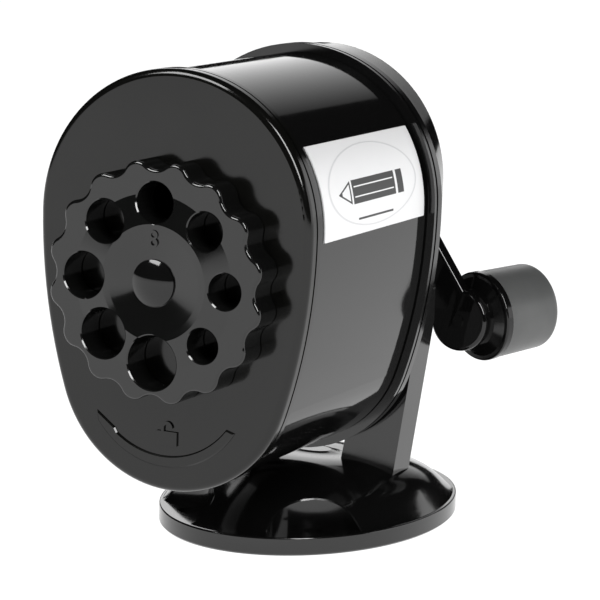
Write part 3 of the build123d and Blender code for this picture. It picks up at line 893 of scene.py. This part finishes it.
@dataclass
class Cutters(SubAssembly):
    """Both milled cutters with their pinions."""

    part = Part.CUTTERS

    def finishes(self) -> dict[str, Finish]:
        """Choose the finishes.

        Returns:
            The finish of each node by name.
        """
        milled = Metal("cutter_steel", (0.34, 0.34, 0.36), (0.10, 0.10, 0.11), 0.26, (700.0, 3800.0, 700.0))
        gear = Metal("pinion_steel", (0.40, 0.40, 0.41), (0.20, 0.19, 0.18), 0.3)
        return {"cutter_right": milled, "cutter_left": milled, "pinion_right": gear, "pinion_left": gear}


@dataclass
class Knob(SubAssembly):
    """The crank's knob."""

    part = Part.KNOB

    def finishes(self) -> dict[str, Finish]:
        """Choose the finishes.

        Returns:
            The finish of each node by name.
        """
        return {
            "knob_flange": MouldedPlastic("flange_black", rough=0.12, haze=0.04),
            "knob_grip": SatinGrip("grip_grey"),
        }


@dataclass
class Receptacle(SubAssembly):
    """The shavings drum with its front plate, its label and the dial's fixings."""

    part = Part.RECEPTACLE

    def label_finish(self) -> PrintedLabel:
        """Fit the label's finish to the label's own box.

        Returns:
            The finish.
        """
        low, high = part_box("label")
        half_long, half_high = (high[1] - low[1]) / 2, (high[2] - low[2]) / 2
        return PrintedLabel("label_foil", middle_of("label"), half_long, half_high)

    def finishes(self) -> dict[str, Finish]:
        """Choose the finishes.

        Returns:
            The finish of each node by name.
        """
        plate_shade = (0.003, 0.003, 0.0027)
        spring = Metal("spring_steel", (0.45, 0.45, 0.46), (0.28, 0.28, 0.29), 0.2)
        return {
            "receptacle_drum": MouldedPlastic("drum_black", rough=0.05, haze=0.03, ripple=0.000004),
            "front_plate": MouldedPlastic("plate_black", plate_shade, rough=0.10, haze=0.05, grain=0.05,
                                          index=1.47),
            "label": self.label_finish(),
            "dial_pivot": MouldedPlastic("button_black", rough=0.05, haze=0.03),
            "dial_spring_washer": spring,
            "detent_ball": spring,
            "detent_spring": spring,
        }


@dataclass
class Dial(SubAssembly):
    """The turning hole selector."""

    part = Part.DIAL

    def finishes(self) -> dict[str, Finish]:
        """The finish of each node by name."""
        return {"dial": ContouredFace("dial_black", middle_of("dial"))}


class View(Enum):
    """Where the camera stands, looks and leans, in millimetres and as unit directions."""

    EYE = (292.2, -577.2, 169.5)
    AHEAD = (-0.4761, 0.8605, -0.1813)
    RIGHT = (0.8727, 0.4878, 0.0232)


def show(name: str, mesh: bpy.types.Mesh, graph: Graph) -> None:
    """Put a mesh into the scene as part of the stage.

    Args:
        name: The object's name.
        mesh: Its mesh.
        graph: Its material's graph.
    """
    mesh.materials.append(graph.material)
    piece = bpy.data.objects.new(name, mesh)
    bpy.context.scene.collection.objects.link(piece)


@dataclass(frozen=True)
class Screen:
    """A glowing screen that bends round the object, to be seen only in its gloss.

    Attributes:
        azimuths: Its left and right edges in degrees, from +Y towards +X.
        heights: Its low and high edges in degrees above the horizon.
        glow: Its brightness at the left edge and at the right edge.
        fade: Its brightness at the high edge as a share of that at the low edge.
        radius: Its distance in metres.
        columns: The grid's points across.
        rows: The grid's points up.
    """

    name: str
    azimuths: Span
    heights: Span
    glow: Span
    fade: float = 1.0
    radius: float = 3.0
    columns: int = 25
    rows: int = 7

    def grid(self) -> bpy.types.Mesh:
        """Build the screen's mesh: x = R sin(a), y = R cos(a), z = R tan(h).

        Returns:
            The mesh.
        """
        turn = np.radians(np.linspace(*self.azimuths, self.columns))
        rise = np.tan(np.radians(np.linspace(*self.heights, self.rows)))
        turns, rises = np.meshgrid(turn, rise)
        points = np.stack([np.sin(turns), np.cos(turns), rises], axis=-1).reshape(-1, 3) * self.radius
        index = np.arange(self.columns * self.rows).reshape(self.rows, self.columns)
        corners = [index[:-1, :-1], index[:-1, 1:], index[1:, 1:], index[1:, :-1]]
        mesh = bpy.data.meshes.new(self.name)
        mesh.from_pydata(points.tolist(), [], np.stack(corners, axis=-1).reshape(-1, 4).tolist())
        return mesh

    def light(self) -> Graph:
        """Build the glow, which changes evenly across the screen and up it.

        Returns:
            The glow's graph.
        """
        graph = Graph(self.name)
        x, y, z = graph.axes(graph.place())
        angle = graph.math("ARCTAN2", x, y) * (180.0 / math.pi)
        share = ((angle - self.azimuths[0]) / (self.azimuths[1] - self.azimuths[0])).most(0.0).least(1.0)
        low, high = (math.tan(math.radians(height)) for height in self.heights)
        level = (z - low * self.radius) / ((high - low) * self.radius)
        light = (self.glow[0] + share * (self.glow[1] - self.glow[0])) * (1.0 + level * (self.fade - 1.0))
        colour = graph.node("CombineXYZ", X=light, Y=light, Z=light).outputs[0]
        graph.set(Base_Color=(0.0, 0.0, 0.0), Roughness=1.0, Emission_Color=colour, Emission_Strength=1.0)
        return graph

    def build(self) -> None:
        """Build the screen."""
        mesh = self.grid()
        show(self.name, mesh, self.light())
        LOG.info("screen %s: %d faces", self.name, len(mesh.polygons))


@dataclass(frozen=True)
class Softbox:
    """One rectangular light.

    Attributes:
        place: Its centre in metres.
        aim: The point it faces.
        size: Its width and height in metres.
        power: Its power in watts.
    """

    name: str
    place: Place
    aim: Place
    size: Span
    power: float

    def build(self) -> None:
        """Hang the light."""
        data = bpy.data.lights.new(self.name, "AREA")
        data.shape = "RECTANGLE"
        data.size, data.size_y = self.size
        data.energy = self.power
        lamp = bpy.data.objects.new(self.name, data)
        lamp.location = self.place
        lamp.rotation_euler = (Vector(self.aim) - Vector(self.place)).to_track_quat("-Z", "Y").to_euler()
        bpy.context.scene.collection.objects.link(lamp)


@dataclass
class Studio:
    """Pale floor, soft lights, glowing screens and the camera.

    Attributes:
        floor_half: Half the floor's side in metres.
        floor_glow: How brightly the floor glows by itself.
        lens: The camera's focal length in millimetres.
        far: How far the camera sees, in metres.
        aim_right: How far to the right the camera turns, as a share of the distance ahead.
        sky: The dim light that fills the room.
    """

    floor_half: float = 9.0
    floor_shade: Colour = (0.2, 0.2, 0.2)
    floor_rough: float = 0.9
    floor_glow: float = 0.97
    lens: float = 168.1
    far: float = 100.0
    aim_right: float = 0.0306
    sky: Colour = (0.004, 0.004, 0.004)
    screens: tuple[Screen, ...] = (
        Screen("backdrop_right", (22.0, 80.0), (0.0, 20.5), (1.3, 1.6)),
        Screen("window_left", (-42.0, 4.5), (10.0, 36.0), (2.5, 0.22), 0.7),
    )
    softboxes: tuple[Softbox, ...] = (
        Softbox("front_left", (-0.44, -0.80, 0.92), (0.0, -0.05, 0.07), (0.6, 0.5), 11.0),
        Softbox("right", (0.86, -0.68, 0.84), (0.0, -0.04, 0.08), (0.35, 0.8), 13.0),
    )

    def floor(self) -> None:
        """Lay the floor, which glows a little so that it stays white from every side."""
        half = self.floor_half
        corners = [(-half, -half, 0), (half, -half, 0), (half, half, 0), (-half, half, 0)]
        mesh = bpy.data.meshes.new("floor")
        mesh.from_pydata(corners, [], [(0, 1, 2, 3)])
        graph = Graph("floor_white")
        graph.set(Base_Color=self.floor_shade, Roughness=self.floor_rough,
                  Emission_Color=(1.0, 1.0, 1.0), Emission_Strength=self.floor_glow)
        show("floor", mesh, graph)

    def world(self) -> None:
        """Fill the room with a dim even light."""
        world = bpy.data.worlds.new("room")
        world.use_nodes = True
        world.node_tree.nodes["Background"].inputs["Color"].default_value = (*self.sky, 1.0)
        bpy.context.scene.world = world

    def camera(self) -> None:
        """Set the camera where View says, turned to the right by aim_right and held level to View's lean."""
        ahead = (Vector(View.AHEAD.value) + self.aim_right * Vector(View.RIGHT.value)).normalized()
        up = Vector(View.RIGHT.value).cross(Vector(View.AHEAD.value))
        right = ahead.cross(up).normalized()
        up = right.cross(ahead)
        data = bpy.data.cameras.new("camera")
        data.lens = self.lens
        data.clip_end = self.far
        camera = bpy.data.objects.new("camera", data)
        axes = Matrix((right, up, -ahead)).transposed().to_4x4()
        camera.matrix_world = Matrix.Translation(Vector(View.EYE.value) * MM) @ axes
        bpy.context.scene.collection.objects.link(camera)
        bpy.context.scene.camera = camera

    def build(self) -> None:
        """Build the whole studio."""
        bpy.context.scene.view_settings.view_transform = "Standard"
        self.floor()
        self.world()
        for light in (*self.screens, *self.softboxes):
            light.build()
        self.camera()


def main() -> None:
    """Build the scene and report each piece."""
    logging.basicConfig(level=logging.INFO, format="%(message)s")
    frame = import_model()
    for assembly in (Stand, Crank, Cutters, Knob, Receptacle, Dial):
        assembly(frame).dress()
    Studio().build()


if __name__ == "__main__":
    main()
